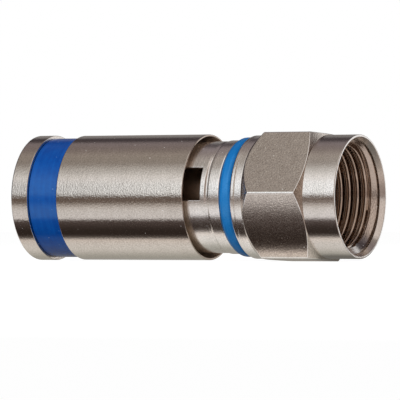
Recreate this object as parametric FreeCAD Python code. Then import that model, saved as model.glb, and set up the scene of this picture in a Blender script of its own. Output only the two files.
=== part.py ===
import FreeCAD, Part
import math
import os

# Coaxial compression connector with a 3/8-32 coupling nut, before it is pressed onto its cable.
# Millimetres. The X axis is the connector's axis and +X points out of the nut, towards the port.
# X = 0 is the seating plane: the front face of the post, which the port's end is drawn against.

# Fits between pieces
seat_clearance = 0.01
slide_clearance = 0.04
spin_clearance = 0.08
nut_float = 0.10
edge_break = 0.06

# Coupling nut: mouth, thread and nose
thread_major_diameter = 9.525
thread_depth = 0.3725
thread_length = 4.53
nut_depth = 6.3
mouth_length = 0.67
thread_lead_angle = 52.0
mouth_clearance = 0.24
mouth_chamfer_width = 0.22
mouth_chamfer_length = 0.45
relief_clearance = 0.1
nose_wall = 0.66
nose_length = 3.0

# Coupling nut: hexagon and rear collar
hex_step = 0.0875
hex_length = 5.965
hex_corner_rounding = 0.18
hex_front_chamfer_angle = 25.75
hex_rear_chamfer_angle = 49.0
hex_chamfer_crown = 0.01
nut_turn_angle = 2.9
collar_step = 0.075
collar_length = 1.125
collar_rounding = 0.2
collar_groove_setback = 0.37
collar_groove_width = 0.14
collar_groove_depth = 0.06
lip_thickness = 0.9

# Post: the tube that slides under the cable's braid
post_bore_diameter = 4.85
post_wall = 0.42
post_shank_wall = 0.72
post_overhang = 0.9
flange_thickness = 0.95
flange_pass_clearance = 0.2
barb_height = 0.3
barb_ramp_length = 1.15
barb_back_length = 0.15
post_tip_wall = 0.16

# Seal ring between the nut and the body
seal_section = 1.27
seal_width = 1.14
seal_rounding = 0.4

# Body: spigot, bead, groove, neck with its windows, and the skirt inside the sleeve
spigot_wall = 0.855
spigot_clearance = 0.1
bead_width = 1.06
bead_height = 0.08
bead_rounding = 0.12
groove_width = 0.46
groove_depth = 0.1
groove_floor_width = 0.16
neck_wall = 0.5
neck_exposed = 1.84
skirt_wall = 0.34
skirt_flare = 0.12
window_width = 2.93
window_length = 3.0
window_setback = 0.46
window_angle = 14.1
window_web = 0.15
ridge_height = 0.07
ridge_length = 0.55

# Compression sleeve with its band groove
sleeve_length = 17.16
sleeve_wall = 0.52
sleeve_mouth_wall = 0.16
sleeve_mouth_depth = 1.1
sleeve_land_length = 1.4
sleeve_bore_depth = 11.92
sleeve_rear_wall = 0.8
ring_width = 1.63
ring_height = 0.04
ring_chamfer = 0.08
barrel_chamfer = 0.1
home_gap = 0.26
end_gap = 0.3

# Coloured band, and the plastic ferrule that closes on the cable's jacket
band_width = 2.88
band_thickness = 0.225
band_seat_wall = 0.4
cable_entry_diameter = 8.0
ferrule_entry_clearance = 0.2
ferrule_nose_wall = 0.36
ferrule_shoulder = 0.14
ferrule_lead = 0.4
ferrule_tip_taper = 0.25

# Radii, worked out from the bores outwards
post_bore_radius = post_bore_diameter / 2
post_radius = post_bore_radius + post_wall
shank_radius = post_bore_radius + post_shank_wall
barb_radius = post_radius + barb_height
lip_radius = shank_radius + spin_clearance
spigot_radius = shank_radius + spigot_wall
nut_rear_bore_radius = spigot_radius + spigot_clearance
seal_radius = spigot_radius + seal_section
thread_major_radius = thread_major_diameter / 2
thread_minor_radius = thread_major_radius - thread_depth
flange_radius = thread_minor_radius - flange_pass_clearance
mouth_radius = thread_major_radius + mouth_clearance
relief_radius = thread_major_radius + relief_clearance
nose_radius = thread_major_radius + nose_wall
hex_flat_radius = nose_radius + hex_step
hex_corner_radius = hex_flat_radius / math.cos(math.radians(30))
collar_radius = hex_flat_radius - collar_step
cable_entry_radius = cable_entry_diameter / 2
ferrule_bore_radius = cable_entry_radius + ferrule_entry_clearance
ferrule_nose_radius = ferrule_bore_radius + ferrule_nose_wall
ferrule_radius = ferrule_nose_radius + ferrule_shoulder
ferrule_seat_radius = ferrule_radius + seat_clearance
skirt_bore_radius = ferrule_nose_radius + slide_clearance
neck_radius = skirt_bore_radius + skirt_wall
body_bore_radius = neck_radius - neck_wall
bead_radius = neck_radius + bead_height
ridge_radius = neck_radius + ridge_height
sleeve_land_radius = neck_radius + slide_clearance
sleeve_bore_radius = ridge_radius + slide_clearance
sleeve_radius = sleeve_bore_radius + sleeve_wall
sleeve_mouth_radius = sleeve_radius - sleeve_mouth_wall
ring_radius = sleeve_radius + ring_height
band_seat_radius = ferrule_seat_radius + band_seat_wall
band_radius = band_seat_radius + seat_clearance + band_thickness

# Stations along X, worked out from the seating plane
nut_front = nut_depth
nose_start = nut_front - nose_length
collar_front = nose_start - hex_length
nut_rear = collar_front - collar_length
thread_start = nut_front - mouth_length
thread_end = thread_start - thread_length
flange_rear = -flange_thickness
lip_front = flange_rear - nut_float
lip_rear = lip_front - lip_thickness
spigot_front = lip_rear - nut_float
seal_front = nut_rear - slide_clearance
bead_front = seal_front - seal_width
bead_rear = bead_front - bead_width
groove_rear = bead_rear - groove_width
window_front = groove_rear - window_setback
cavity_front = window_front + window_web
sleeve_front = groove_rear - neck_exposed
sleeve_rear = sleeve_front - sleeve_length
sleeve_land_front = sleeve_front - sleeve_mouth_depth
sleeve_land_rear = sleeve_land_front - sleeve_land_length
sleeve_step = sleeve_front - sleeve_bore_depth
stroke = bead_front - sleeve_front - home_gap
body_rear = sleeve_step + stroke + end_gap
ridge_front = sleeve_land_rear - slide_clearance
ridge_rear = ridge_front - ridge_length
ring_front = sleeve_rear + ring_width
band_front = ring_front + band_width
ferrule_rear = sleeve_rear + sleeve_rear_wall + seat_clearance
ferrule_front = body_rear + ferrule_lead
ferrule_shoulder_front = sleeve_step - seat_clearance
skirt_bore_front = ferrule_front + stroke + end_gap
post_rear = body_rear - post_overhang

ORIGIN = FreeCAD.Vector(0, 0, 0)
X_AXIS = FreeCAD.Vector(1, 0, 0)


def rounded_corner(before, corner, after, radius):
    """Arc of the given radius, tangent to both sides of a corner of an outline."""
    to_before = (before - corner).normalize()
    to_after = (after - corner).normalize()
    half_angle = to_before.getAngle(to_after) / 2
    inward = (to_before + to_after).normalize()
    setback = radius / math.tan(half_angle)
    centre = corner + inward * (radius / math.sin(half_angle))
    return Part.Arc(corner + to_before * setback, centre - inward * radius, corner + to_after * setback)


def outline(corners):
    """Closed wire through (x, radius) corners; a third value rounds that corner."""
    points = [FreeCAD.Vector(corner[0], 0, corner[1]) for corner in corners]
    edges = []
    ends = []
    for index, corner in enumerate(corners):
        point = points[index]
        if len(corner) == 3:
            after = points[(index + 1) % len(points)]
            arc = rounded_corner(points[index - 1], point, after, corner[2])
            edges.append(arc.toShape())
            ends.append((arc.StartPoint, arc.EndPoint))
        else:
            ends.append((point, point))
    for index in range(len(corners)):
        start = ends[index - 1][1]
        end = ends[index][0]
        edges.append(Part.LineSegment(start, end).toShape())
    return Part.Wire(Part.__sortEdges__(edges))


def turned(corners):
    """Solid turned about the connector's axis from the corners of its half section."""
    return Part.Face(outline(corners)).revolve(ORIGIN, X_AXIS, 360)


def crowned_side(start, end):
    """Side of an outline, bowed outwards by the crown that a formed chamfer has."""
    along = end - start
    outward = FreeCAD.Vector(-along.z, 0, along.x).normalize()
    middle = (start + end) / 2 + outward * hex_chamfer_crown
    return Part.Arc(start, middle, end)


def cylinder(rear, front, radius):
    """Round bar along the axis, from one station to another."""
    return Part.makeCylinder(radius, front - rear, FreeCAD.Vector(rear, 0, 0), X_AXIS)


def hexagon():
    """Hexagon of the nut with rounded corners, cut back by the front and rear chamfers."""
    corners = []
    for index in range(6):
        angle = math.radians(60 * index)
        corners.append(FreeCAD.Vector(
            collar_front, -hex_corner_radius * math.cos(angle), hex_corner_radius * math.sin(angle)))
    face = Part.Face(Part.makePolygon(corners + corners[:1]))
    prism = face.extrude(X_AXIS * hex_length)
    long_edges = [edge for edge in prism.Edges if abs(edge.tangentAt(edge.FirstParameter).x) > 0.5]
    prism = prism.makeFillet(hex_corner_rounding, long_edges)
    front_rise = (hex_corner_radius - nose_radius) * math.tan(math.radians(hex_front_chamfer_angle))
    rear_rise = (hex_corner_radius - collar_radius) * math.tan(math.radians(hex_rear_chamfer_angle))
    rear_foot = FreeCAD.Vector(collar_front, 0, collar_radius)
    rear_top = FreeCAD.Vector(collar_front + rear_rise, 0, hex_corner_radius)
    front_top = FreeCAD.Vector(nose_start - front_rise, 0, hex_corner_radius)
    front_foot = FreeCAD.Vector(nose_start, 0, nose_radius)
    rear_centre = FreeCAD.Vector(collar_front, 0, 0)
    front_centre = FreeCAD.Vector(nose_start, 0, 0)
    sides = [
        Part.LineSegment(rear_centre, rear_foot),
        crowned_side(rear_foot, rear_top),
        Part.LineSegment(rear_top, front_top),
        crowned_side(front_top, front_foot),
        Part.LineSegment(front_foot, front_centre),
        Part.LineSegment(front_centre, rear_centre),
    ]
    half_section = Part.Face(Part.Wire([side.toShape() for side in sides]))
    return prism.common(half_section.revolve(ORIGIN, X_AXIS, 360))


def nut_outside():
    """Nose, hexagon and rear collar, before the nut is bored."""
    nose = turned([
        (nose_start, 0),
        (nose_start, nose_radius),
        (nut_front, nose_radius, edge_break),
        (nut_front, 0),
    ])
    groove_front = nut_rear + collar_groove_setback + collar_groove_width
    collar = turned([
        (nut_rear, 0),
        (nut_rear, collar_radius, collar_rounding),
        (nut_rear + collar_groove_setback, collar_radius),
        (nut_rear + collar_groove_setback + collar_groove_width / 2, collar_radius - collar_groove_depth),
        (groove_front, collar_radius),
        (collar_front, collar_radius),
        (collar_front, 0),
    ])
    return hexagon().fuse([nose, collar]).removeSplitter()


def nut_bore():
    """Mouth, thread bore, relief, captured lip and rear bore of the nut."""
    lead_length = (mouth_radius - thread_minor_radius) / math.tan(math.radians(thread_lead_angle))
    return turned([
        (nut_front + mouth_chamfer_length, 0),
        (nut_front + mouth_chamfer_length, mouth_radius + 2 * mouth_chamfer_width),
        (nut_front - mouth_chamfer_length, mouth_radius),
        (thread_start, mouth_radius),
        (thread_start - lead_length, thread_minor_radius),
        (thread_end, thread_minor_radius),
        (thread_end, relief_radius),
        (lip_front, relief_radius),
        (lip_front, lip_radius),
        (lip_rear, lip_radius),
        (lip_rear, nut_rear_bore_radius),
        (nut_rear - edge_break, nut_rear_bore_radius),
        (nut_rear - edge_break, 0),
    ])


def coupling_nut():
    """Hexagon nut that spins on the post, held between the post's flange and the body."""
    nut = nut_outside().cut(nut_bore())
    nut.rotate(ORIGIN, X_AXIS, -nut_turn_angle)
    return nut


def post():
    """Flanged tube with a barb at its rear end."""
    tip_radius = post_bore_radius + post_tip_wall
    barb_front = post_rear + barb_ramp_length
    return turned([
        (0, post_bore_radius),
        (0, flange_radius, edge_break),
        (flange_rear, flange_radius, edge_break),
        (flange_rear, shank_radius),
        (cavity_front, shank_radius),
        (cavity_front, post_radius),
        (barb_front + barb_back_length, post_radius),
        (barb_front, barb_radius),
        (post_rear, tip_radius),
        (post_rear, post_bore_radius),
    ])


def seal_ring():
    """Seal ring, squeezed to flat sides, on the body's spigot behind the nut."""
    inner_radius = spigot_radius + seat_clearance
    return turned([
        (bead_front + seat_clearance, inner_radius),
        (bead_front + seat_clearance, seal_radius, seal_rounding),
        (seal_front, seal_radius, seal_rounding),
        (seal_front, inner_radius),
    ])


def window_cutter():
    """Bar that cuts the two opposite windows through the neck's wall."""
    reach = 2 * (neck_radius + bead_height)
    corner = FreeCAD.Vector(window_front - window_length, -reach / 2, -window_width / 2)
    bar = Part.makeBox(window_length, reach, window_width, corner)
    bar.rotate(ORIGIN, X_AXIS, -window_angle)
    return bar


def connector_body():
    """Body with its spigot, bead, windowed neck and the thin skirt inside the sleeve."""
    ridge_slope = ridge_height
    groove_side = (groove_width - groove_floor_width) / 2
    outside = turned([
        (spigot_front, 0),
        (spigot_front, spigot_radius, edge_break),
        (bead_front, spigot_radius),
        (bead_front, bead_radius, bead_rounding),
        (bead_rear, bead_radius),
        (bead_rear - groove_side, neck_radius - groove_depth),
        (groove_rear + groove_side, neck_radius - groove_depth),
        (groove_rear, neck_radius),
        (ridge_front, neck_radius),
        (ridge_front, ridge_radius),
        (ridge_rear + ridge_slope, ridge_radius),
        (ridge_rear, neck_radius),
        (body_rear, neck_radius, edge_break),
        (body_rear, 0),
    ])
    cavity = turned([
        (cavity_front, 0),
        (cavity_front, body_bore_radius),
        (skirt_bore_front, body_bore_radius),
        (skirt_bore_front, skirt_bore_radius),
        (body_rear + skirt_flare, skirt_bore_radius),
        (body_rear - skirt_flare, skirt_bore_radius + 2 * skirt_flare),
        (body_rear - skirt_flare, 0),
    ])
    post_hole = cylinder(cavity_front - edge_break, spigot_front + edge_break, shank_radius + seat_clearance)
    return outside.cut([cavity, post_hole, window_cutter()])


def compression_sleeve():
    """Sleeve that slides over the body: mouth, land, long bore, band groove and rear ring."""
    outside = turned([
        (sleeve_rear, 0),
        (sleeve_rear, ring_radius, 2 * edge_break),
        (ring_front - ring_chamfer, ring_radius),
        (ring_front, ring_radius - ring_chamfer),
        (ring_front, band_seat_radius),
        (band_front, band_seat_radius),
        (band_front, sleeve_radius - barrel_chamfer),
        (band_front + barrel_chamfer, sleeve_radius),
        (sleeve_front, sleeve_radius, edge_break),
        (sleeve_front, 0),
    ])
    entry_chamfer = sleeve_rear_wall / 4
    inside = turned([
        (sleeve_rear - entry_chamfer, 0),
        (sleeve_rear - entry_chamfer, cable_entry_radius + 2 * entry_chamfer),
        (sleeve_rear + entry_chamfer, cable_entry_radius),
        (sleeve_rear + sleeve_rear_wall, cable_entry_radius),
        (sleeve_rear + sleeve_rear_wall, ferrule_seat_radius),
        (sleeve_step, ferrule_seat_radius),
        (sleeve_step, sleeve_bore_radius),
        (sleeve_land_rear, sleeve_bore_radius),
        (sleeve_land_rear, sleeve_land_radius),
        (sleeve_land_front, sleeve_land_radius),
        (sleeve_front + sleeve_mouth_depth, 2 * sleeve_mouth_radius - sleeve_land_radius),
        (sleeve_front + sleeve_mouth_depth, 0),
    ])
    return outside.cut(inside)


def colour_band():
    """Coloured band that tells the cable size, set in the sleeve's groove."""
    return turned([
        (ring_front + seat_clearance, band_seat_radius + seat_clearance),
        (ring_front + seat_clearance, band_radius, edge_break),
        (band_front - seat_clearance, band_radius, edge_break),
        (band_front - seat_clearance, band_seat_radius + seat_clearance),
    ])


def grip_ferrule():
    """Plastic ferrule seated in the sleeve, with a nose that the skirt closes on the cable."""
    return turned([
        (ferrule_rear, ferrule_bore_radius, edge_break),
        (ferrule_rear, ferrule_radius, edge_break),
        (ferrule_shoulder_front, ferrule_radius, edge_break),
        (ferrule_shoulder_front, ferrule_nose_radius),
        (ferrule_front - ferrule_tip_taper, ferrule_nose_radius),
        (ferrule_front, ferrule_nose_radius - ferrule_tip_taper),
        (ferrule_front, ferrule_bore_radius),
    ])


nodes = {
    "coupling_nut": coupling_nut,
    "post": post,
    "seal_ring": seal_ring,
    "connector_body": connector_body,
    "compression_sleeve": compression_sleeve,
    "colour_band": colour_band,
    "grip_ferrule": grip_ferrule,
}

os.makedirs("parts", exist_ok=True)
for name, make in nodes.items():
    shape = make()
    shape.exportStep("parts/" + name + ".step")
    box = shape.BoundBox
    print(name, len(shape.Solids), "solid", shape.isValid(), "volume", round(shape.Volume, 2),
          "x", round(box.XMin, 3), round(box.XMax, 3), "z", round(box.ZMin, 3), round(box.ZMax, 3))
print("sleeve stroke", round(stroke, 3))
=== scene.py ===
import math

import bpy
from mathutils import Matrix, Vector


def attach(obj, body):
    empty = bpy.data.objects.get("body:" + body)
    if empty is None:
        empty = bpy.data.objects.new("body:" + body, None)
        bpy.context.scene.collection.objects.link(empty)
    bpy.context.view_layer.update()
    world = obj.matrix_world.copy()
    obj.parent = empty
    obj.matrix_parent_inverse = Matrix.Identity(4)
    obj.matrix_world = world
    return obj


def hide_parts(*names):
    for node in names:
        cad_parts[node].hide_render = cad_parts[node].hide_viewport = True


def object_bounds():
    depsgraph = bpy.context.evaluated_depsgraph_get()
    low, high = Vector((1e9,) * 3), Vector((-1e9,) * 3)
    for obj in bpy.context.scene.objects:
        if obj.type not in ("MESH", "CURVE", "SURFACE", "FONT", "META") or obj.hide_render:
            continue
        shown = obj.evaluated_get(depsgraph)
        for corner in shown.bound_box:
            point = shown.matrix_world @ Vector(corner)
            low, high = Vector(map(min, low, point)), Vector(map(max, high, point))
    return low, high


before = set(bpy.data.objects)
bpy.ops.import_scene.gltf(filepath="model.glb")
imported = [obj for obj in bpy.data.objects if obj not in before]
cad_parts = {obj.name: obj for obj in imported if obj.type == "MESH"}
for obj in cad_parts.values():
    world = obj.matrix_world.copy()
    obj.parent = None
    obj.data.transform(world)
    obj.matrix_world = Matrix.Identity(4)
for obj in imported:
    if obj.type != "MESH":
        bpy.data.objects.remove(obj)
cad_low, cad_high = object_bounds()

# Millimetres below, as in the solids; the meshes are scaled to metres when they are made.
# X is the connector's axis, +X points out of the nut, and X = 0 is the seating plane.
MM = 0.001
FULL_TURN = 2 * math.pi
TINY = 1e-6

# Stations along X
NUT_FRONT = 6.3
THREAD_FRONT = 5.63
NOSE_START = 3.3
THREAD_END = 1.1
FLANGE_REAR = -0.95
LIP_FRONT = -1.05
LIP_REAR = -1.95
SPIGOT_FRONT = -2.05
HEX_REAR = -2.665
NUT_REAR = -3.79
SEAL_FRONT = -3.83
BEAD_FRONT = -4.97
BEAD_REAR = -6.03
GROOVE_REAR = -6.49
CAVITY_FRONT = -6.80
WINDOW_FRONT = -6.95
SLEEVE_FRONT = -8.33
MOUTH_FLOOR = -9.43
WINDOW_REAR = -9.95
LAND_REAR = -10.83
RIDGE_FRONT = -10.87
RIDGE_REAR = -11.42
SKIRT_BORE_FRONT = -13.05
FERRULE_FRONT = -16.45
BODY_REAR = -16.85
POST_REAR = -17.75
BARB_FRONT = POST_REAR + 1.15
SLEEVE_STEP = -20.25
BAND_FRONT = -20.98
RING_FRONT = -23.86
FERRULE_REAR = -24.68
SLEEVE_REAR = -25.49

# Radii
POST_BORE = 2.425
POST_TIP = POST_BORE + 0.16
POST = 2.845
BARB = POST + 0.3
POST_SHANK = 3.145
LIP_BORE = 3.225
SPIGOT = 4.0
CABLE_ENTRY = 4.0
NUT_REAR_BORE = 4.1
FLANGE = 4.19
FERRULE_BORE = 4.2
THREAD_MINOR = 4.39
BODY_BORE = 4.44
FERRULE_NOSE = 4.56
SKIRT_BORE = 4.60
FERRULE = 4.70
THREAD_MAJOR = 4.7625
RELIEF = 4.8625
NECK = 4.94
SLEEVE_LAND = 4.98
MOUTH = 5.0
RIDGE = 5.01
BEAD = 5.02
SLEEVE_BORE = 5.05
BAND_SEAT = 5.11
SEAL = 5.27
BAND = 5.345
SLEEVE_MOUTH = 5.41
NOSE = 5.4225
COLLAR = 5.435
SLEEVE = 5.57
RING = 5.61

# Small sizes of the turned pieces
SEAT_GAP = 0.01
CRISP = 0.03
ENTRY_CHAMFER = 0.2
BARREL_CHAMFER = 0.1
FERRULE_CHAMFER = 0.25
SKIRT_CHAMFER = 0.12
BARB_STEP = 0.15
RIDGE_SLOPE = 0.07
GROOVE_DEPTH = 0.1
GROOVE_SIDE = 0.15
SEAL_ROUNDING = 0.42

# Nut
HEX_FLAT = 5.51
HEX_ROUNDING = 0.22
HEX_FRONT_CHAMFER = math.radians(25.75)
HEX_REAR_CHAMFER = math.radians(49.0)
HEX_EDGE = 0.05
HEX_FRONT_EDGE_DEPTH = 0.045
HEX_REAR_EDGE_DEPTH = 0.035
NUT_TURN = math.radians(-2.9)
COLLAR_GROOVE = NUT_REAR + 0.44
COLLAR_GROOVE_SIDE = 0.07
COLLAR_GROOVE_DEPTH = 0.06
COLLAR_ROUNDING = 0.2
MOUTH_CHAMFER = 0.22
MOUTH_CHAMFER_LENGTH = 0.45
THREAD_PITCH = 25.4 / 32
THREAD_PHASE = 0.31
THREAD_CREST = 0.27
THREAD_CREST_ROUNDING = 0.20
THREAD_ROOT = 0.12
LEAD_ANGLE = math.radians(52)
RELIEF_SLOPE = 1.7

# Windows through the neck, and the radius inside which the body's rows are the cavity's
WINDOW_WIDTH = 2.93
WINDOW_TURN = math.radians(-14.1)
WINDOW_EDGE = 0.08
CAVITY_REACH = 4.64

# Fineness of the meshes
ROUND_COLUMNS = 256
POST_COLUMNS = 160
BODY_COLUMNS = 192
WINDOW_HALF_COLUMNS = 9
HEX_CORNER_STEPS = 6
HEX_FLAT_STEPS = 26
ROUNDING_STEP = math.radians(16)
ROUNDING_ROOM = 0.48

# Faces whose two normals have less than this outward part in all are taken as the bore's
BORE_FACING = 0.8

# Camera, fitted to the outlines: turned towards the nut, level, far away
PICTURE = 400
CAMERA_TURN = math.radians(27.11)
CAMERA_RISE = math.radians(-0.36)
CAMERA_DISTANCE = 361.3
PIXELS_PER_MM = 11.286
AIM_STATION = -8.50
AIM_PIXEL = (208.87, 197.29)


# Mesh building

class Shell:
    """Vertices in millimetres, and faces that carry a normal for each of their corners."""

    def __init__(self):
        self.points = []
        self.faces = []
        self.normals = []
        self.slots = []

    def point(self, x, y, z):
        self.points.append(Vector((x, y, z)))
        return len(self.points) - 1

    def polar(self, x, r, angle):
        return self.point(x, r * math.cos(angle), r * math.sin(angle))

    def ring(self, x, r, angles):
        return [self.polar(x, r, angle) for angle in angles]

    def face(self, corners, slot=0):
        """A face over (vertex, normal) corners, turned to look along them, without repeated ones."""
        kept = [corner for place, corner in enumerate(corners) if corner[0] != corners[place - 1][0]]
        if len(kept) < 3:
            return
        spots = [self.points[vertex] for vertex, _ in kept]
        looks = (spots[1] - spots[0]).cross(spots[2] - spots[1])
        if len(kept) == 4:
            looks += (spots[2] - spots[1]).cross(spots[3] - spots[2])
        wanted = sum((normal for _, normal in kept), Vector())
        if looks.dot(wanted) < 0:
            kept.reverse()
        self.faces.append([vertex for vertex, _ in kept])
        self.normals.extend(normal for _, normal in kept)
        self.slots.append(slot)

    def join(self, first, second, slots):
        """Faces between two rings of (vertex, normal), with a slot for each; None leaves a hole."""
        for column, slot in enumerate(slots):
            if slot is not None:
                self.face((first[column - 1], second[column - 1], second[column], first[column]), slot)

    def piece(self, name, materials, body, node, slot, turn=0.0):
        """Makes the object, riding on its body in place of its CAD node."""
        spin = Matrix.Rotation(turn, 3, "X")
        mesh = bpy.data.meshes.new(name)
        mesh.from_pydata([spin @ point * MM for point in self.points], [], self.faces)
        for material in materials:
            mesh.materials.append(material)
        mesh.polygons.foreach_set("material_index", self.slots)
        mesh.polygons.foreach_set("use_smooth", [True] * len(self.faces))
        mesh.normals_split_custom_set([(spin @ normal).normalized() for normal in self.normals])
        mesh.update()
        made = bpy.data.objects.new(name, mesh)
        bpy.context.scene.collection.objects.link(made)
        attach(made, body)
        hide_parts(node)


def rounded_outline(corners, rounding, closed=True):
    """Rows of an outline as (x, r, normal before, normal after), with its corners rounded.

    A corner is (x, r) and takes the common rounding, or (x, r, its own rounding). The solid lies
    on the left of an open outline as it is followed; a closed one may be given either way."""
    ordered = corners
    if closed:
        area = sum(before[0] * after[1] - after[0] * before[1]
                   for before, after in zip(corners, corners[1:] + corners[:1]))
        ordered = corners if area > 0 else corners[::-1]
    rows = []
    for place, corner in enumerate(ordered):
        here = Vector(corner[:2])
        arrive = here - Vector(ordered[place - 1][:2])
        leave = Vector(ordered[(place + 1) % len(ordered)][:2]) - here
        radius = corner[2] if len(corner) == 3 else rounding
        if not closed and place == 0:
            arrive = leave.copy()
        if not closed and place == len(ordered) - 1:
            leave = arrive.copy()
        room_left = ROUNDING_ROOM * min(arrive.length, leave.length)
        arrive.normalize()
        leave.normalize()
        before = Vector((arrive.y, -arrive.x))
        after = Vector((leave.y, -leave.x))
        turn = math.atan2(arrive.x * leave.y - arrive.y * leave.x, arrive.dot(leave))
        reach = abs(math.tan(turn / 2))
        if reach < TINY or radius == 0:
            rows.append((here.x, here.y, before, after))
            continue
        radius = min(radius, room_left / reach)
        side = math.copysign(radius, turn)
        centre = here - arrive * radius * reach - before * side
        steps = max(2, math.ceil(abs(turn) / ROUNDING_STEP))
        for step in range(steps + 1):
            angle = turn * step / steps
            normal = Vector((before.x * math.cos(angle) - before.y * math.sin(angle),
                             before.x * math.sin(angle) + before.y * math.cos(angle)))
            spot = centre + normal * side
            rows.append((spot.x, spot.y, normal, normal))
    return rows


def around(angle, normal):
    """Space normal at an angle about the axis, from a normal in the (x, r) half plane."""
    return Vector((normal[0], normal[1] * math.cos(angle), normal[1] * math.sin(angle)))


def facing(ring, angles, normal):
    """The ring's vertices, each with the normal turned to its angle."""
    return [(vertex, around(angle, normal)) for vertex, angle in zip(ring, angles)]


def turned(corners, rounding=0.04, columns=ROUND_COLUMNS, bore_reach=None):
    """Shell turned about the axis from the closed outline of its half section.

    The faces past the station bore_reach that don't look outwards get the second slot."""
    shell = Shell()
    rows = rounded_outline(corners, rounding)
    angles = [FULL_TURN * column / columns for column in range(columns)]
    rings = [shell.ring(x, r, angles) for x, r, _, _ in rows]
    for row, (x, _, end, _) in enumerate(rows):
        start = rows[row - 1][3]
        bored = bore_reach is not None and x > bore_reach and start.y + end.y < BORE_FACING
        shell.join(facing(rings[row - 1], angles, start), facing(rings[row], angles, end),
                   [int(bored)] * columns)
    return shell


# Materials

class Nodes:
    """Short way to add nodes to a material's or the world's tree, and link them."""

    def __init__(self, owner):
        owner.use_nodes = True
        self.owner = owner
        self.tree = owner.node_tree
        self.shader = self.tree.nodes.get("Principled BSDF")
        self.millimetres = None

    def feed(self, socket, value):
        """Links the socket to an output, or sets its value; a colour may leave out its alpha."""
        if isinstance(value, bpy.types.NodeSocket):
            self.tree.links.new(value, socket)
        elif socket.type == "RGBA" and len(value) == 3:
            socket.default_value = value + (1.0,)
        else:
            socket.default_value = value

    def add(self, kind, inputs=None, **settings):
        node = self.tree.nodes.new(kind)
        for setting, value in settings.items():
            setattr(node, setting, value)
        for socket, value in (inputs or {}).items():
            self.feed(node.inputs[socket], value)
        return node

    def wire(self, socket, value):
        self.feed(self.shader.inputs[socket], value)

    def math(self, operation, first, second):
        return self.add("ShaderNodeMath", {0: first, 1: second}, operation=operation).outputs[0]

    def times(self, first, second):
        return self.math("MULTIPLY", first, second)

    def plus(self, first, second):
        return self.math("ADD", first, second)

    def scaled(self, vector, factor):
        node = self.add("ShaderNodeVectorMath", {0: vector, "Scale": factor}, operation="SCALE")
        return node.outputs[0]

    def place(self):
        """Object coordinates in millimetres: as a vector, x, y and the distance from the axis."""
        if self.millimetres is None:
            coordinates = self.add("ShaderNodeTexCoord").outputs["Object"]
            position = self.scaled(coordinates, 1 / MM)
            x, y, z = self.add("ShaderNodeSeparateXYZ", {0: position}).outputs
            flat = self.add("ShaderNodeCombineXYZ", {"Y": y, "Z": z})
            length = self.add("ShaderNodeVectorMath", {0: flat.outputs[0]}, operation="LENGTH")
            self.millimetres = (position, x, y, length.outputs["Value"])
        return self.millimetres

    def noise(self, vector, scale, detail, roughness=0.6):
        """Smooth noise with the given number of waves a millimetre."""
        node = self.add("ShaderNodeTexNoise", {"Vector": vector, "Scale": scale, "Detail": detail,
                                               "Roughness": roughness})
        return node.outputs["Fac"]

    def streaks(self, fineness, drift=0.03):
        """Noise drawn out round the axis, as the marks of a turning tool are."""
        _, x, y, radius = self.place()
        vector = self.add("ShaderNodeCombineXYZ", {"X": self.times(x, fineness),
                                                   "Y": self.times(radius, fineness),
                                                   "Z": self.times(y, drift * fineness)})
        return self.noise(vector.outputs[0], 1.0, detail=3.0)

    def specks(self, scale, core, rim, strength):
        """Scattered round specks, at full strength out to their core and gone at their rim."""
        dust = self.add("ShaderNodeTexVoronoi", {"Vector": self.place()[0], "Scale": scale})
        return self.spread(dust.outputs["Distance"], (core, rim), strength, 0.0)

    def spread(self, value, reach, to_low=0.0, to_high=1.0):
        """The value's reach (low, high) spread over a range, and held at its ends beyond."""
        node = self.add("ShaderNodeMapRange", {"Value": value, "From Min": reach[0],
                                               "From Max": reach[1], "To Min": to_low,
                                               "To Max": to_high})
        return node.outputs["Result"]

    def vary(self, noise, to_low, to_high):
        """Noise spread over a range."""
        return self.spread(noise, NOISE_REACH, to_low, to_high)

    def blend(self, factor, first, second):
        node = self.add("ShaderNodeMix", {0: factor, 6: first, 7: second}, data_type="RGBA")
        return node.outputs[2]

    def bands(self, value, bands, unit=1.0):
        """Colours of (place, colour) bands along a value, with their places in the given unit."""
        low = bands[0][0]
        high = bands[-1][0]
        ramp = self.add("ShaderNodeValToRGB", {0: self.spread(value, (low * unit, high * unit))})
        elements = ramp.color_ramp.elements
        for place, colour in bands[1:-1]:
            elements.new((place - low) / (high - low)).color = colour + (1.0,)
        elements[0].color = bands[0][1] + (1.0,)
        elements[-1].color = bands[-1][1] + (1.0,)
        return ramp.outputs["Color"]

    def bump(self, height, depth, under=None):
        """Bump of the given depth in millimetres, on top of another bump."""
        inputs = {"Height": height, "Strength": 1.0, "Distance": depth * MM}
        if under is not None:
            inputs["Normal"] = under
        return self.add("ShaderNodeBump", inputs).outputs["Normal"]


# What noise mostly keeps to, and how far two noises together set the tone
NOISE_REACH = (0.3, 0.7)
STAIN_REACH = (0.35, 0.65)
MOTTLE_REACH = (0.75, 1.25)

METAL_DUST = (0.92, 0.90, 0.88)
BLUE_DUST = (0.40, 0.58, 0.78)
SHEEN_TINT = (0.55, 0.95, 1.0)
SHEEN_REACH = (0.13, 0.32)


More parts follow.
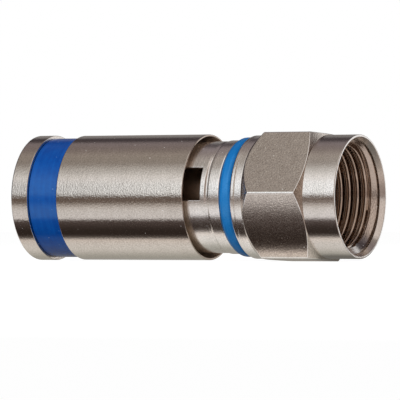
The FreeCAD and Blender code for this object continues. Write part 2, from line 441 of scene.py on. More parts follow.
def nickel(name, light, dark, gloss, grain, lines, speckle, grain_size=8.0):
    """Nickel plate: fine grain and turning lines of the given depths, stains, and a light speckle."""
    nodes = Nodes(bpy.data.materials.new(name))
    position = nodes.place()[0]
    fine = nodes.noise(position, grain_size, detail=2.0)
    cloud = nodes.noise(position, 0.7, detail=4.0)
    if lines:
        turning = nodes.streaks(7.0)
        broad = nodes.streaks(1.6)
    else:
        turning = nodes.noise(position, grain_size * 0.4, detail=3.0)
        broad = nodes.noise(position, 1.9, detail=3.0)
    tone = nodes.spread(nodes.times(nodes.plus(cloud, broad), 0.5), STAIN_REACH)
    colour = nodes.blend(tone, dark, light)
    dots = nodes.noise(position, grain_size * 1.4, detail=1.0, roughness=0.5)
    spotted = nodes.scaled(colour, nodes.vary(dots, 1.0 - speckle, 1.0 + speckle))
    dust = nodes.specks(1.3, core=0.04, rim=0.07, strength=0.65)
    nodes.wire("Base Color", nodes.blend(dust, spotted, METAL_DUST))
    nodes.wire("Metallic", nodes.math("SUBTRACT", 1.0, dust))
    wear = nodes.plus(nodes.times(turning, 0.5), nodes.times(fine, 0.5))
    nodes.wire("Roughness", nodes.vary(wear, gloss * 0.8, gloss * 1.25))
    normal = nodes.bump(fine, grain)
    if lines:
        normal = nodes.bump(turning, lines, normal)
    nodes.wire("Normal", normal)
    return nodes.owner


def blue_plastic(name, deep, pale, gloss, speck):
    """Blue plastic or rubber: soft mottling, fine marks round the axis, pale specks and a sheen."""
    nodes = Nodes(bpy.data.materials.new(name))
    position = nodes.place()[0]
    mottle = nodes.noise(position, 1.3, detail=4.0)
    fine = nodes.noise(position, 12.0, detail=2.0, roughness=0.5)
    marks = nodes.streaks(3.0, drift=0.08)
    colour = nodes.blend(nodes.spread(nodes.plus(mottle, marks), MOTTLE_REACH), deep, pale)
    dust = nodes.specks(1.6, core=speck, rim=speck * 1.6, strength=0.55)
    nodes.wire("Base Color", nodes.blend(dust, colour, BLUE_DUST))
    nodes.wire("Roughness", nodes.vary(fine, gloss * 0.85, gloss * 1.2))
    turned_away = nodes.add("ShaderNodeLayerWeight", {"Blend": 0.5}).outputs["Facing"]
    nodes.wire("Specular IOR Level", nodes.spread(turned_away, SHEEN_REACH, 0.9, 0.2))
    nodes.wire("Specular Tint", SHEEN_TINT)
    nodes.wire("Normal", nodes.bump(fine, 0.002, nodes.bump(marks, 0.004)))
    return nodes.owner


def white_acetal(name, dull, bright):
    """Natural acetal: milky, slightly waxy, with faint turning marks."""
    nodes = Nodes(bpy.data.materials.new(name))
    marks = nodes.streaks(5.0)
    cloud = nodes.noise(nodes.place()[0], 0.9, detail=3.0, roughness=0.5)
    nodes.wire("Base Color", nodes.blend(cloud, dull, bright))
    nodes.wire("Roughness", nodes.vary(marks, 0.36, 0.52))
    nodes.wire("Normal", nodes.bump(marks, 0.004))
    return nodes.owner


BARREL_NICKEL = nickel("barrel_nickel", (0.685, 0.635, 0.58), (0.63, 0.58, 0.525),
                       gloss=0.11, grain=0.0092, lines=0.0020, speckle=0.13, grain_size=6.5)
# Darker, browner nickel on the sleeve's front face and in its mouth: painted shade of the recess around
# the neck
MOUTH_SHADE_NICKEL = nickel("bore_nickel_painted_shade", (0.62, 0.52, 0.44), (0.44, 0.36, 0.30),
                     gloss=0.30, grain=0.0030, lines=0.0100, speckle=0.10)
BODY_NICKEL = nickel("body_nickel", (0.93, 0.90, 0.86), (0.86, 0.825, 0.78),
                     gloss=0.21, grain=0.0075, lines=0.0080, speckle=0.12)
NOSE_NICKEL = nickel("nose_nickel", (0.79, 0.745, 0.70), (0.73, 0.685, 0.635),
                     gloss=0.15, grain=0.0080, lines=0.0050, speckle=0.12)
FLAT_NICKEL = nickel("flat_nickel", (0.71, 0.645, 0.58), (0.63, 0.565, 0.505),
                     gloss=0.23, grain=0.0130, lines=0.0, speckle=0.22, grain_size=7.0)
EDGE_NICKEL = nickel("edge_nickel", (0.93, 0.91, 0.88), (0.84, 0.80, 0.76),
                     gloss=0.10, grain=0.0040, lines=0.0, speckle=0.15)
THREAD_NICKEL = nickel("thread_nickel", (0.76, 0.66, 0.58), (0.66, 0.56, 0.48),
                       gloss=0.13, grain=0.0010, lines=0.0, speckle=0.06)
POST_NICKEL = nickel("post_nickel", (0.56, 0.40, 0.30), (0.46, 0.33, 0.24),
                     gloss=0.44, grain=0.0030, lines=0.0020, speckle=0.06)
BAND_BLUE = blue_plastic("band_blue", (0.001, 0.052, 0.28), (0.002, 0.076, 0.35),
                         gloss=0.20, speck=0.045)
SEAL_BLUE = blue_plastic("seal_blue", (0.003, 0.135, 0.40), (0.010, 0.17, 0.48),
                         gloss=0.30, speck=0.025)
ACETAL = white_acetal("white_acetal", (0.74, 0.72, 0.66), (0.86, 0.85, 0.80))


# Turned pieces, each from the corners of its half section as (x, r, rounding)

def make_sleeve():
    shell = turned([
        (SLEEVE_REAR, CABLE_ENTRY + ENTRY_CHAMFER, 0.05),
        (SLEEVE_REAR, RING, 0.12),
        (RING_FRONT, RING, 0.07),
        (RING_FRONT, BAND_SEAT, CRISP),
        (BAND_FRONT, BAND_SEAT, CRISP),
        (BAND_FRONT, SLEEVE - BARREL_CHAMFER, CRISP),
        (BAND_FRONT + BARREL_CHAMFER, SLEEVE, 0.05),
        (SLEEVE_FRONT, SLEEVE, 0.11),
        (SLEEVE_FRONT, SLEEVE_MOUTH, 0.04),
        (MOUTH_FLOOR, SLEEVE_LAND, 0.10),
        (LAND_REAR, SLEEVE_LAND, CRISP),
        (LAND_REAR, SLEEVE_BORE, CRISP),
        (SLEEVE_STEP, SLEEVE_BORE, 0.05),
        (SLEEVE_STEP, FERRULE + SEAT_GAP, CRISP),
        (FERRULE_REAR - SEAT_GAP, FERRULE + SEAT_GAP, CRISP),
        (FERRULE_REAR - SEAT_GAP, CABLE_ENTRY, CRISP),
        (SLEEVE_REAR + ENTRY_CHAMFER, CABLE_ENTRY, CRISP),
    ], bore_reach=LAND_REAR)
    # the faces of the mouth take the darker nickel, painted shade in the recess
    shell.piece("barrel_sleeve", [BARREL_NICKEL, MOUTH_SHADE_NICKEL], "sleeve",
                "compression_sleeve", "sleeve_nickel")


def make_band():
    shell = turned([
        (RING_FRONT + SEAT_GAP, BAND_SEAT + SEAT_GAP),
        (RING_FRONT + SEAT_GAP, BAND, 0.08),
        (BAND_FRONT - SEAT_GAP, BAND, 0.05),
        (BAND_FRONT - SEAT_GAP, BAND_SEAT + SEAT_GAP),
    ])
    shell.piece("blue_band", [BAND_BLUE], "sleeve", "colour_band", "band_plastic")


def make_ferrule():
    shell = turned([
        (FERRULE_REAR, FERRULE_BORE, 0.10),
        (FERRULE_REAR, FERRULE, 0.06),
        (SLEEVE_STEP - SEAT_GAP, FERRULE, 0.06),
        (SLEEVE_STEP - SEAT_GAP, FERRULE_NOSE, CRISP),
        (FERRULE_FRONT - FERRULE_CHAMFER, FERRULE_NOSE, 0.08),
        (FERRULE_FRONT, FERRULE_NOSE - FERRULE_CHAMFER, 0.05),
        (FERRULE_FRONT, FERRULE_BORE, CRISP),
    ])
    shell.piece("jacket_ferrule", [ACETAL], "sleeve", "grip_ferrule", "ferrule_plastic")


def make_seal():
    shell = turned([
        (BEAD_FRONT + SEAT_GAP, SPIGOT + SEAT_GAP, 0.05),
        (BEAD_FRONT + SEAT_GAP, SEAL, SEAL_ROUNDING),
        (SEAL_FRONT, SEAL, SEAL_ROUNDING),
        (SEAL_FRONT, SPIGOT + SEAT_GAP, 0.05),
    ])
    shell.piece("blue_seal", [SEAL_BLUE], "body", "seal_ring", "seal_rubber")


def make_post():
    shell = turned([
        (0, POST_BORE, 0.08),
        (0, FLANGE, 0.06),
        (FLANGE_REAR, FLANGE, 0.06),
        (FLANGE_REAR, POST_SHANK, CRISP),
        (CAVITY_FRONT, POST_SHANK, CRISP),
        (CAVITY_FRONT, POST, 0.05),
        (BARB_FRONT + BARB_STEP, POST, CRISP),
        (BARB_FRONT, BARB, CRISP),
        (POST_REAR, POST_TIP, CRISP),
        (POST_REAR, POST_BORE, CRISP),
    ], columns=POST_COLUMNS)
    shell.piece("inner_post", [POST_NICKEL], "body", "post", "post_nickel")


# Body with its two windows

BODY_OUTSIDE = [
    (BODY_REAR, NECK, 0.06),
    (RIDGE_REAR, NECK, CRISP),
    (RIDGE_REAR + RIDGE_SLOPE, RIDGE, CRISP),
    (RIDGE_FRONT, RIDGE, CRISP),
    (RIDGE_FRONT, NECK, 0.02),
    (WINDOW_REAR - WINDOW_EDGE, NECK),
    (WINDOW_FRONT + WINDOW_EDGE, NECK),
    (GROOVE_REAR, NECK, 0.06),
    (GROOVE_REAR + GROOVE_SIDE, NECK - GROOVE_DEPTH, 0.16),
    (BEAD_REAR - GROOVE_SIDE, NECK - GROOVE_DEPTH, 0.16),
    (BEAD_REAR, BEAD, 0.08),
    (BEAD_FRONT, BEAD, 0.16),
    (BEAD_FRONT, SPIGOT, CRISP),
    (SPIGOT_FRONT, SPIGOT, 0.06),
]
BODY_INSIDE = [
    (SPIGOT_FRONT, POST_SHANK + SEAT_GAP, CRISP),
    (CAVITY_FRONT, POST_SHANK + SEAT_GAP, CRISP),
    (CAVITY_FRONT, BODY_BORE, 0.05),
    (WINDOW_FRONT, BODY_BORE),
    (WINDOW_REAR, BODY_BORE),
    (SKIRT_BORE_FRONT, BODY_BORE, CRISP),
    (SKIRT_BORE_FRONT, SKIRT_BORE, CRISP),
    (BODY_REAR + SKIRT_CHAMFER, SKIRT_BORE, CRISP),
    (BODY_REAR, SKIRT_BORE + SKIRT_CHAMFER, CRISP),
]


def make_body():
    """Turned body; its columns bend so that two opposite windows have straight, parallel sides."""
    columns = BODY_COLUMNS
    quarter = columns // 4
    centre_angle = math.pi + WINDOW_TURN
    plain_half = FULL_TURN * WINDOW_HALF_COLUMNS / columns
    outer_half = math.asin((WINDOW_WIDTH / 2 + WINDOW_EDGE) / NECK)
    inner_half = math.asin(WINDOW_WIDTH / 2 / BODY_BORE)
    shell = Shell()
    rows = rounded_outline(BODY_OUTSIDE + BODY_INSIDE, CRISP)

    def side_of(column):
        """Columns from the middle of the nearer window."""
        return (column + quarter) % (columns // 2) - quarter

    def column_angle(column, half):
        side = side_of(column)
        bent = FULL_TURN * abs(side) / columns
        if abs(side) <= WINDOW_HALF_COLUMNS:
            bent = bent * half / plain_half
        else:
            bent = half + (bent - plain_half) * (math.pi / 2 - half) / (math.pi / 2 - plain_half)
        middle = centre_angle if (column + quarter) % columns < columns // 2 else centre_angle + math.pi
        return middle + math.copysign(bent, side)

    rings = []
    angles = []
    for x, r, _, _ in rows:
        # the cavity's wall takes the columns of the windows' inner ends
        half = inner_half if r < CAVITY_REACH and x < BEAD_REAR else outer_half
        angles.append([column_angle(column, half) for column in range(columns)])
        rings.append(shell.ring(x, r, angles[-1]))

    def row_at(x, r):
        return next(row for row, place in enumerate(rows)
                    if abs(place[0] - x) < TINY and abs(place[1] - r) < TINY)

    outer_ends = (row_at(WINDOW_FRONT + WINDOW_EDGE, NECK), row_at(WINDOW_REAR - WINDOW_EDGE, NECK))
    inner_ends = (row_at(WINDOW_FRONT, BODY_BORE), row_at(WINDOW_REAR, BODY_BORE))
    pierced = [None if -WINDOW_HALF_COLUMNS < side_of(column) <= WINDOW_HALF_COLUMNS else 0
               for column in range(columns)]
    for row, (_, _, end, _) in enumerate(rows):
        ends = {(row - 1) % len(rows), row}
        shell.join(facing(rings[row - 1], angles[row - 1], rows[row - 1][3]),
                   facing(rings[row], angles[row], end),
                   pierced if ends in (set(outer_ends), set(inner_ends)) else [0] * columns)

    def window_wall(middle_column):
        """Rim and walls of one window, from the neck's outside to the cavity."""
        middle = centre_angle + (math.pi if middle_column else 0.0)
        outward = Vector((0, math.cos(middle), math.sin(middle)))
        across = Vector((0, -math.sin(middle), math.cos(middle)))
        offsets = list(range(-WINDOW_HALF_COLUMNS, WINDOW_HALF_COLUMNS + 1))
        loop = [(1, offset) for offset in offsets] + [(-1, offset) for offset in reversed(offsets)]

        def rim_point(end, offset, outset, depth):
            half_width = WINDOW_WIDTH / 2 + outset
            share = math.sin(outer_half * offset / WINDOW_HALF_COLUMNS) / math.sin(outer_half)
            sideways = half_width * share
            height = math.sqrt((NECK - depth) ** 2 - sideways ** 2)
            x = (WINDOW_FRONT if end > 0 else WINDOW_REAR) + end * outset
            spot = outward * height + across * sideways
            return shell.point(x, spot.y, spot.z)

        def ring_loop(front_row, rear_row):
            return [rings[front_row if end > 0 else rear_row][(middle_column + offset) % columns]
                    for end, offset in loop]

        tilts = [math.radians(step) for step in (0, 30, 60, 90, 90)]
        loops = [ring_loop(*outer_ends)]
        for tilt in tilts[1:-1]:
            outset = WINDOW_EDGE * (1 - math.sin(tilt))
            depth = WINDOW_EDGE * (1 - math.cos(tilt))
            loops.append([rim_point(end, offset, outset, depth) for end, offset in loop])
        loops.append(ring_loop(*inner_ends))
        for level in range(1, len(loops)):
            for place, (end, offset) in enumerate(loop):
                if end == loop[place - 1][0]:
                    wall = Vector((-end, 0, 0))
                else:
                    wall = across * (-1 if offset > 0 else 1)
                corners = []
                for at_level, at_place in ((level - 1, place - 1), (level, place - 1),
                                           (level, place), (level - 1, place)):
                    vertex = loops[at_level][at_place]
                    spot = shell.points[vertex]
                    radial = Vector((0, spot.y, spot.z)).normalized()
                    tilt = tilts[at_level]
                    corners.append((vertex, radial * math.cos(tilt) + wall * math.sin(tilt)))
                shell.face(corners)

    window_wall(0)
    window_wall(columns // 2)
    shell.piece("windowed_body", [BODY_NICKEL], "body", "connector_body", "body_nickel")


# Coupling nut: its columns serve the turned parts, the hexagon and the thread alike

NOSE_SLOT, FLAT_SLOT, EDGE_SLOT, THREAD_SLOT, COLLAR_SLOT = range(5)
NUT_MATERIALS = [NOSE_NICKEL, FLAT_NICKEL, EDGE_NICKEL, THREAD_NICKEL, BODY_NICKEL]


def direction(angle):
    """Flat unit vector at an angle."""
    return Vector((math.cos(angle), math.sin(angle)))


def hexagon_columns():
    """Columns round the nut as (angle, hexagon's radius, angle of its normal, on a rounded corner)."""
    corner_centre = (HEX_FLAT - HEX_ROUNDING) / math.cos(math.pi / 6)
    columns = []
    for corner in range(6):
        middle = corner * math.pi / 3
        for step in range(HEX_CORNER_STEPS + 1):
            normal = middle + math.radians(60 * step / HEX_CORNER_STEPS - 30)
            start = direction(middle) * corner_centre + direction(normal) * HEX_ROUNDING
            columns.append((start, normal, step > 0))
        end = direction(middle + math.pi / 3) * corner_centre + direction(normal) * HEX_ROUNDING
        columns += [(start.lerp(end, step / HEX_FLAT_STEPS), normal, False)
                    for step in range(1, HEX_FLAT_STEPS)]
    return sorted((math.atan2(spot.y, spot.x) % FULL_TURN, spot.length, normal, rounded)
                  for spot, normal, rounded in columns)


def nut_outside(shell, columns):
    """All of the nut but its thread; gives the rings at the thread's front and rear end."""
    angles = [column[0] for column in columns]
    facings = [column[2] for column in columns]
    outward = (0, 1)

    def strip(corners, slot, rounding, start=None):
        """Turned faces along an open outline; they may start from a ring that is there already."""
        rows = rounded_outline(corners, rounding, closed=False)
        rings = [start if start and place == 0 else shell.ring(x, r, angles)
                 for place, (x, r, _, _) in enumerate(rows)]
        for place in range(1, len(rows)):
            shell.join(facing(rings[place - 1], angles, rows[place - 1][3]),
                       facing(rings[place], angles, rows[place][2]), [slot] * len(columns))
        return rings[0], rings[-1]

    # front rim and nose, followed from the thread's front end outwards and back
    mouth_rim, nose_root = strip([
        (THREAD_FRONT, MOUTH),
        (NUT_FRONT - MOUTH_CHAMFER_LENGTH, MOUTH, 0.04),
        (NUT_FRONT, MOUTH + MOUTH_CHAMFER, 0.05),
        (NUT_FRONT, NOSE, 0.07),
        (NOSE_START, NOSE),
    ], NOSE_SLOT, 0.05)

    # hexagon: front chamfer, worn edge, flats with their rounded corners, worn edge, rear chamfer
    def front_x(r):
        return NOSE_START - (r - NOSE) * math.tan(HEX_FRONT_CHAMFER)

    def rear_x(r):
        return HEX_REAR + (r - COLLAR) * math.tan(HEX_REAR_CHAMFER)

    def hex_ring(chamfer_x, depth, shift):
        """Ring at a depth under the hexagon's surface, shifted along X from one of the chamfers."""
        return [shell.polar(chamfer_x(reach - depth) + shift, reach - depth, angle)
                for angle, reach, _, _ in columns]

    front_normal = direction(HEX_FRONT_CHAMFER)
    rear_normal = Vector((-math.cos(HEX_REAR_CHAMFER), math.sin(HEX_REAR_CHAMFER)))
    steps = [
        facing(nose_root, angles, front_normal),
        facing(hex_ring(front_x, HEX_FRONT_EDGE_DEPTH, 0.0), angles, front_normal),
        facing(hex_ring(front_x, 0.0, -HEX_EDGE), facings, outward),
        facing(hex_ring(rear_x, 0.0, HEX_EDGE), facings, outward),
        facing(hex_ring(rear_x, HEX_REAR_EDGE_DEPTH, 0.0), angles, rear_normal),
    ]
    collar_root = shell.ring(HEX_REAR, COLLAR, angles)
    steps.append(facing(collar_root, angles, rear_normal))
    cone = [FLAT_SLOT] * len(columns)
    edge = [EDGE_SLOT] * len(columns)
    flats = [EDGE_SLOT if column[3] else FLAT_SLOT for column in columns]
    for first, second, slots in zip(steps, steps[1:], (cone, edge, flats, edge, cone)):
        shell.join(first, second, slots)

    # collar with its groove, rear face, captured lip and relief, back up to the thread's end
    _, relief_rim = strip([
        (HEX_REAR, COLLAR),
        (COLLAR_GROOVE + COLLAR_GROOVE_SIDE, COLLAR, CRISP),
        (COLLAR_GROOVE, COLLAR - COLLAR_GROOVE_DEPTH, 0.02),
        (COLLAR_GROOVE - COLLAR_GROOVE_SIDE, COLLAR, CRISP),
        (NUT_REAR, COLLAR, COLLAR_ROUNDING),
        (NUT_REAR, NUT_REAR_BORE, 0.06),
        (LIP_REAR, NUT_REAR_BORE, CRISP),
        (LIP_REAR, LIP_BORE, 0.04),
        (LIP_FRONT, LIP_BORE, 0.04),
        (LIP_FRONT, RELIEF, CRISP),
        (THREAD_END, RELIEF),
    ], COLLAR_SLOT, CRISP, start=collar_root)
    return mouth_rim, relief_rim


def thread_rows():
    """One pitch of the internal thread as (place along it, radius, normal before, normal after)."""
    flank = (THREAD_PITCH - THREAD_CREST - THREAD_ROOT) / 2
    root_start = THREAD_CREST + flank
    next_crest_end = THREAD_PITCH + THREAD_CREST
    backing = THREAD_MAJOR + 1
    outline = [
        (0.0, THREAD_MINOR, THREAD_CREST_ROUNDING),
        (THREAD_CREST, THREAD_MINOR, THREAD_CREST_ROUNDING),
        (root_start, THREAD_MAJOR, CRISP),
        (root_start + THREAD_ROOT, THREAD_MAJOR, CRISP),
        (THREAD_PITCH, THREAD_MINOR, THREAD_CREST_ROUNDING),
        (next_crest_end, THREAD_MINOR, THREAD_CREST_ROUNDING),
        (next_crest_end, backing),
        (-THREAD_PITCH, backing),
        (-THREAD_PITCH, THREAD_MAJOR),
        (-flank, THREAD_MAJOR, CRISP),
    ]
    start = THREAD_CREST / 2
    inward = Vector((0, -1))
    return [(start, THREAD_MINOR, inward, inward)] + [
        row for row in rounded_outline(outline, 0.0) if start < row[0] < start + THREAD_PITCH]


def nut_thread(shell, columns, mouth_rim, relief_rim):
    """Helical rows that follow the pitch, cut off at the relief's cone and at the entry cone."""
    pitch_rows = thread_rows()
    per_pitch = len(pitch_rows)
    total = (math.ceil((THREAD_FRONT - THREAD_END) / THREAD_PITCH) + 4) * per_pitch
    first_x = THREAD_END - 2 * THREAD_PITCH + THREAD_PHASE * THREAD_PITCH
    touch = 0.001
    entry_normal = Vector((math.sin(LEAD_ANGLE), -math.cos(LEAD_ANGLE)))
    relief_normal = Vector((-RELIEF_SLOPE, -1.0)) / math.hypot(1.0, RELIEF_SLOPE)

    def surface(x, r, normal):
        """Radius and normal of the thread at x, where the entry and relief cones don't cut deeper."""
        entry = MOUTH - (THREAD_FRONT - x) * math.tan(LEAD_ANGLE)
        relief = RELIEF - (x - THREAD_END) * RELIEF_SLOPE
        if entry > r and entry >= relief:
            return entry, entry_normal
        if relief > r:
            return relief, relief_normal
        return r, normal

    grid = []
    for column, (angle, _, _, _) in enumerate(columns):
        grid.append([])
        for row in range(total):
            along, depth, before, after = pitch_rows[row % per_pitch]
            turns = row // per_pitch
            x = first_x + turns * THREAD_PITCH + along + THREAD_PITCH * angle / FULL_TURN
            if x <= THREAD_END + touch:
                vertex = relief_rim[column]
            elif x >= THREAD_FRONT - touch:
                vertex = mouth_rim[column]
            else:
                after = surface(x, depth, after)[1]
                r, before = surface(x, depth, before)
                vertex = shell.polar(x, r, angle)
            grid[-1].append((vertex, before, after))
    for column, (angle, _, _, _) in enumerate(columns):
        # the first column joins the last one a pitch further on
        shift = 0 if column else -per_pitch
        last_angle = columns[column - 1][0] - (0 if column else FULL_TURN)
        for row in range(1 - shift, total):
            left = row + shift
            corners = (grid[column - 1][left - 1], grid[column - 1][left],
                       grid[column][row], grid[column][row - 1])
            on_entry = all(entry_normal in corner[1:] for corner in corners)
            shell.face([(corners[0][0], around(last_angle, corners[0][2])),
                        (corners[1][0], around(last_angle, corners[1][1])),
                        (corners[2][0], around(angle, corners[2][1])),
                        (corners[3][0], around(angle, corners[3][2]))],
                       NOSE_SLOT if on_entry else THREAD_SLOT)


def make_nut():
    shell = Shell()
    columns = hexagon_columns()
    mouth_rim, relief_rim = nut_outside(shell, columns)
    nut_thread(shell, columns, mouth_rim, relief_rim)
    shell.piece("hexagon_nut", NUT_MATERIALS, "nut", "coupling_nut", "nut_nickel", NUT_TURN)


make_sleeve()
make_band()
make_ferrule()
make_seal()
make_post()
make_body()
make_nut()


# Studio: white floor and background, light and dark panels that only the metal sees.
# A pair is where a fade starts and ends.

def degrees(start, end):
    """A fade between two angles."""
    return math.radians(start), math.radians(end)


BLACK = (0.0, 0.0, 0.0)
WHITE = (1.0, 1.0, 1.0)

# Floor: plain to diffuse light, and to the camera a glow that only the object's shadow dims
FLOOR_LEVEL = cad_low.z / MM
FLOOR_SIZE = 1500
FLOOR_GREY = (0.60, 0.60, 0.60)
FLOOR_SHADE = (0.30, 0.30, 0.30)
FLOOR_GLOW = 0.90

# What the metal mirrors in the floor, by millimetres across the axis; the dimmer bands under the
# object, from about -2.4 to 2 mm, are painted shadow of the object
FLOOR_BANDS = [
    (-60.0, (0.17, 0.13, 0.11)),
    (-42.0, (0.17, 0.13, 0.11)),
    (-33.0, (0.27, 0.23, 0.205)),
    (-25.5, (0.48, 0.44, 0.415)),
    (-20.0, (0.655, 0.615, 0.595)),
    (-16.0, (0.77, 0.745, 0.74)),
    (-12.5, (0.80, 0.78, 0.785)),
    (-9.78, (0.80, 0.78, 0.79)),
    (-9.03, (0.11, 0.085, 0.08)),
    (-6.2, (0.038, 0.028, 0.024)),
    (-4.74, (0.038, 0.027, 0.023)),
    (-4.33, (0.78, 0.70, 0.65)),
    (-4.1, (0.80, 0.74, 0.70)),
    (-3.4, (0.82, 0.79, 0.765)),
    (-2.8, (0.80, 0.775, 0.745)),
    (-2.35, (0.70, 0.675, 0.64)),
    (-1.6, (0.48, 0.47, 0.425)),
    (-0.9, (0.40, 0.385, 0.35)),
    (2.0, (0.38, 0.36, 0.33)),
    (10.0, (0.46, 0.42, 0.39)),
    (60.0, (0.36, 0.30, 0.275)),
]

# Painted shadow of the neck and the nose: darker patches under them in the floor that the metal
# mirrors, as (fade along X, fade along Y, strength)
FLOOR_SHADOW_PATCHES = [
    ((-8.7, -8.1), (-4.2, -3.2), 0.12),
    ((1.2, 2.6), (-1.7, -1.0), 0.45),
]

# Beyond the nut's end: before the axis, past it, dark further on, and light far back
FLOOR_END = (8.0, 11.0)
FLOOR_END_MIDDLE = (-12.0, -4.0)
FLOOR_END_FAR = (14.8, 16.4)
FLOOR_END_SKEW = 0.3
FLOOR_BACK = (20.0, 40.0)
FLOOR_BACK_SKEW = 1.2
FLOOR_BEFORE_AXIS = (0.34, 0.275, 0.25)
FLOOR_PAST_AXIS = (0.55, 0.46, 0.415)
FLOOR_END_DARK = (0.040, 0.022, 0.014)
BACK_LIGHT = (1.06, 1.06, 1.08)

# What the metal mirrors in the room, by degrees round the axis: 0 towards the camera, 90 up
ROOM_BANDS = [
    (-180.0, (0.255, 0.205, 0.185)),
    (-2.0, (0.17, 0.125, 0.105)),
    (1.0, (0.17, 0.125, 0.105)),
    (6.0, (0.80, 0.82, 0.85)),
    (18.0, (0.84, 0.86, 0.89)),
    (30.0, (0.99, 0.99, 1.01)),
    (36.0, (0.98, 0.97, 0.98)),
    (41.0, (0.87, 0.86, 0.855)),
    (48.0, (0.69, 0.675, 0.665)),
    (56.0, (0.585, 0.56, 0.535)),
    (62.0, (0.42, 0.385, 0.36)),
    (68.0, (0.375, 0.335, 0.305)),
    (80.0, (0.39, 0.345, 0.31)),
    (86.0, (0.40, 0.35, 0.32)),
    (93.0, (0.31, 0.265, 0.245)),
    (104.0, (0.27, 0.225, 0.22)),
    (120.0, (0.27, 0.23, 0.24)),
    (127.0, (0.085, 0.07, 0.075)),
    (141.0, (0.065, 0.052, 0.058)),
    (147.0, (0.25, 0.235, 0.235)),
    (166.0, (0.27, 0.25, 0.24)),
    (174.0, (0.27, 0.22, 0.20)),
    (180.0, (0.255, 0.205, 0.185)),
]

# Along X of a direction: the low front panel dims to the rear, the one overhead to the front,
# and the low panel glares on the seal, the bead and most of all the neck
LOW_PANEL_TOP = degrees(24, 33)
OVERHEAD_START = degrees(50, 60)
REAR_FADE = (-0.4765, -0.461)
REAR_FADE_STRENGTH = 0.24
FRONT_FADE = (-0.45, -0.43)
FRONT_FADE_STRENGTH = 0.14
GLARE_FOOT = degrees(2, 6)
GLARE_START = (-0.460, -0.453)
NECK_END = (-0.448, -0.436)
GLARE = (1.20, 1.24, 1.29)
NECK_GLARE = (1.75, 1.85, 1.92)
REAR_WALL = (-0.50, -0.62)
REAR_DARK = (0.05, 0.04, 0.045)

# Panel in front of the nut, which the chamfers and rounded edges mirror
END_PANEL_FRONT = (0.0, 0.15)
END_PANEL_FOOT = degrees(1, 6)
END_PANEL_START = (-0.38, -0.22)
END_SHADE_START = (0.1, 0.3)
END_DARK_START = (0.5, 0.6)
END_LIGHT = (0.94, 0.92, 0.91)
END_SHADE = (0.70, 0.62, 0.58)
END_DARK = (0.20, 0.145, 0.115)

# Wall past the nut's end, which the rim and the thread mirror, by how far back a direction points
END_WALL = (0.62, 0.74)
END_WALL_BEND = 1.1
END_BANDS = [
    (-0.80, END_DARK),
    (-0.60, END_DARK),
    (-0.50, (0.74, 0.63, 0.57)),
    (-0.22, (0.70, 0.58, 0.51)),
    (-0.165, (0.30, 0.22, 0.19)),
    (-0.10, (0.038, 0.022, 0.014)),
    (0.14, (0.038, 0.022, 0.014)),
    (0.20, (0.05, 0.028, 0.022)),
    (0.26, (0.09, 0.055, 0.047)),
    (0.45, (0.32, 0.25, 0.22)),
]

# Light behind, for the faces that look along the axis
BACK_LIGHT_ALONG = (0.2, 0.3)
BACK_LIGHT_TOWARDS = (-0.7, -0.8)

# What all but the metal is lit by, and what the lamps are aimed at
ROOM_LIGHT = (0.29, 0.29, 0.29)
LAMP_AIM = Vector((-9, 0, 0))


def white_floor():
    """Pale floor: white to the camera except for the object's shadow, banded to the metal, with painted
    shadow of the object in these bands.
    """
    size = FLOOR_SIZE * MM
    level = FLOOR_LEVEL * MM
    mesh = bpy.data.meshes.new("floor")
    mesh.from_pydata([(-size, -size, level), (size, -size, level), (size, size, level),
                      (-size, size, level)], [], [(0, 1, 2, 3)])
    floor = bpy.data.objects.new("floor", mesh)
    bpy.context.scene.collection.objects.link(floor)
    nodes = Nodes(bpy.data.materials.new("floor_white"))
    nodes.tree.nodes.remove(nodes.shader)
    _, x, y, _ = nodes.place()
    # painted shadow: the bands dim under the object
    bands = nodes.bands(y, FLOOR_BANDS)
    # painted shadow: the mirrored floor is darkened in patches under the neck and the nose
    neck_shadow, nose_shadow = (
        nodes.times(nodes.spread(x, fade_x, 0.0, strength), nodes.spread(y, fade_y))
        for fade_x, fade_y, strength in FLOOR_SHADOW_PATCHES)
    bands = nodes.blend(nodes.plus(neck_shadow, nose_shadow), bands, BLACK)
    end_floor = nodes.blend(nodes.spread(y, FLOOR_END_MIDDLE), FLOOR_BEFORE_AXIS, FLOOR_PAST_AXIS)
    far_end = nodes.spread(nodes.plus(nodes.times(x, FLOOR_END_SKEW), y), FLOOR_END_FAR)
    end_floor = nodes.blend(far_end, end_floor, FLOOR_END_DARK)
    far_back = nodes.spread(nodes.math("SUBTRACT", y, nodes.times(x, FLOOR_BACK_SKEW)), FLOOR_BACK)
    end_floor = nodes.blend(far_back, end_floor, BACK_LIGHT)
    bands = nodes.blend(nodes.spread(x, FLOOR_END), bands, end_floor)
    mirrored = nodes.add("ShaderNodeEmission", {"Color": bands})
    plain = nodes.add("ShaderNodeBsdfDiffuse", {"Color": FLOOR_GREY})
    shade = nodes.add("ShaderNodeBsdfDiffuse", {"Color": FLOOR_SHADE})
    glow = nodes.add("ShaderNodeEmission", {"Color": WHITE, "Strength": FLOOR_GLOW})
    seen = nodes.add("ShaderNodeAddShader", {0: shade.outputs[0], 1: glow.outputs[0]})
    path = nodes.add("ShaderNodeLightPath")
    unseen = nodes.add("ShaderNodeMixShader", {0: path.outputs["Is Glossy Ray"],
                                               1: plain.outputs[0], 2: mirrored.outputs[0]})
    final = nodes.add("ShaderNodeMixShader", {0: path.outputs["Is Camera Ray"],
                                              1: unseen.outputs[0], 2: seen.outputs[0]})
    nodes.feed(nodes.tree.nodes["Material Output"].inputs["Surface"], final.outputs[0])
    nodes.owner.cycles.emission_sampling = "NONE"
    mesh.materials.append(nodes.owner)


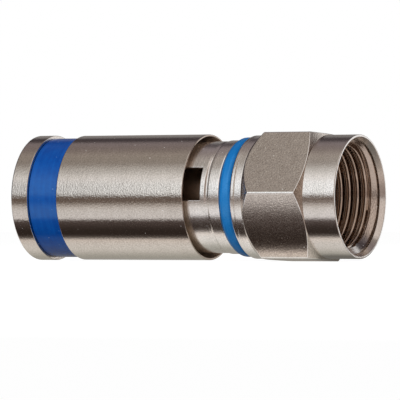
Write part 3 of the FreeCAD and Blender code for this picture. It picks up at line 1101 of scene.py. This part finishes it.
def room():
    """White background; diffuse light is even, and metal sees the room's light and dark panels."""
    world = bpy.data.worlds.new("room")
    bpy.context.scene.world = world
    nodes = Nodes(world)
    view = nodes.add("ShaderNodeTexCoord").outputs["Generated"]
    along, back, up = nodes.add("ShaderNodeSeparateXYZ", {0: view}).outputs
    towards = nodes.times(back, -1.0)
    angle = nodes.math("ARCTAN2", up, towards)
    panels = nodes.bands(angle, ROOM_BANDS, unit=math.radians(1))

    low_panel = nodes.spread(angle, LOW_PANEL_TOP, 1.0, 0.0)
    rear_fade = nodes.times(nodes.spread(along, REAR_FADE, REAR_FADE_STRENGTH, 0.0), low_panel)
    front_fade = nodes.times(nodes.spread(along, FRONT_FADE, 0.0, FRONT_FADE_STRENGTH),
                             nodes.spread(angle, OVERHEAD_START))
    panels = nodes.blend(nodes.plus(rear_fade, front_fade), panels, BLACK)
    glare = nodes.times(nodes.times(nodes.spread(angle, GLARE_FOOT), low_panel),
                        nodes.spread(along, GLARE_START))
    glare_colour = nodes.blend(nodes.spread(along, NECK_END, 1.0, 0.0), GLARE, NECK_GLARE)
    panels = nodes.blend(glare, panels, glare_colour)

    in_front = nodes.times(nodes.spread(towards, END_PANEL_FRONT), nodes.spread(angle, END_PANEL_FOOT))
    end_panel = nodes.blend(nodes.spread(along, END_SHADE_START), END_LIGHT, END_SHADE)
    end_panel = nodes.blend(nodes.spread(along, END_DARK_START), end_panel, END_DARK)
    shown = nodes.times(nodes.spread(along, END_PANEL_START), in_front)
    panels = nodes.blend(shown, panels, end_panel)

    lifted = nodes.times(nodes.times(up, up), END_WALL_BEND)
    end_wall = nodes.bands(nodes.math("SUBTRACT", back, lifted), END_BANDS)
    panels = nodes.blend(nodes.spread(along, END_WALL), panels, end_wall)
    panels = nodes.blend(nodes.spread(along, REAR_WALL), panels, REAR_DARK)
    back_light = nodes.times(nodes.spread(along, BACK_LIGHT_ALONG),
                             nodes.spread(towards, BACK_LIGHT_TOWARDS))
    panels = nodes.blend(back_light, panels, BACK_LIGHT)

    path = nodes.add("ShaderNodeLightPath").outputs
    seen = nodes.math("MAXIMUM", path["Is Camera Ray"], path["Is Transmission Ray"])
    colour = nodes.blend(path["Is Glossy Ray"], ROOM_LIGHT, panels)
    background = nodes.tree.nodes["Background"]
    nodes.feed(background.inputs["Color"], nodes.blend(seen, colour, WHITE))
    nodes.feed(background.inputs["Strength"], 1.0)


def soft_lamp(name, place, size, power):
    """Square area lamp that lights what is not metal, and isn't mirrored."""
    data = bpy.data.lights.new(name, "AREA")
    data.shape = "SQUARE"
    data.size = size * MM
    data.energy = power
    lamp = bpy.data.objects.new(name, data)
    lamp.location = Vector(place) * MM
    lamp.rotation_mode = "QUATERNION"
    lamp.rotation_quaternion = (LAMP_AIM - Vector(place)).to_track_quat("-Z", "Y")
    lamp.visible_glossy = False
    bpy.context.scene.collection.objects.link(lamp)


def camera():
    """Camera at the photograph's viewing angle, placed so that the aim station falls on its pixel."""
    back = Vector((math.sin(CAMERA_TURN) * math.cos(CAMERA_RISE),
                   -math.cos(CAMERA_TURN) * math.cos(CAMERA_RISE), math.sin(CAMERA_RISE)))
    right = Vector((math.cos(CAMERA_TURN), math.sin(CAMERA_TURN), 0))
    up = back.cross(right)
    data = bpy.data.cameras.new("camera")
    data.sensor_width = 36.0
    data.lens = data.sensor_width * PIXELS_PER_MM * CAMERA_DISTANCE / PICTURE
    data.clip_start = 0.01
    data.clip_end = 10.0
    made = bpy.data.objects.new("camera", data)
    place = (Vector((AIM_STATION, 0, 0)) + back * CAMERA_DISTANCE
             - right * (AIM_PIXEL[0] - PICTURE / 2) / PIXELS_PER_MM
             + up * (AIM_PIXEL[1] - PICTURE / 2) / PIXELS_PER_MM)
    made.location = place * MM
    made.rotation_mode = "QUATERNION"
    made.rotation_quaternion = (-back).to_track_quat("-Z", "Y")
    bpy.context.scene.collection.objects.link(made)
    bpy.context.scene.camera = made


white_floor()
room()
soft_lamp("lamp_front", place=(20, -190, 90), size=110, power=0.38)
soft_lamp("lamp_back", place=(60, 170, 140), size=140, power=0.05)
camera()
bpy.context.scene.view_settings.view_transform = "Standard"
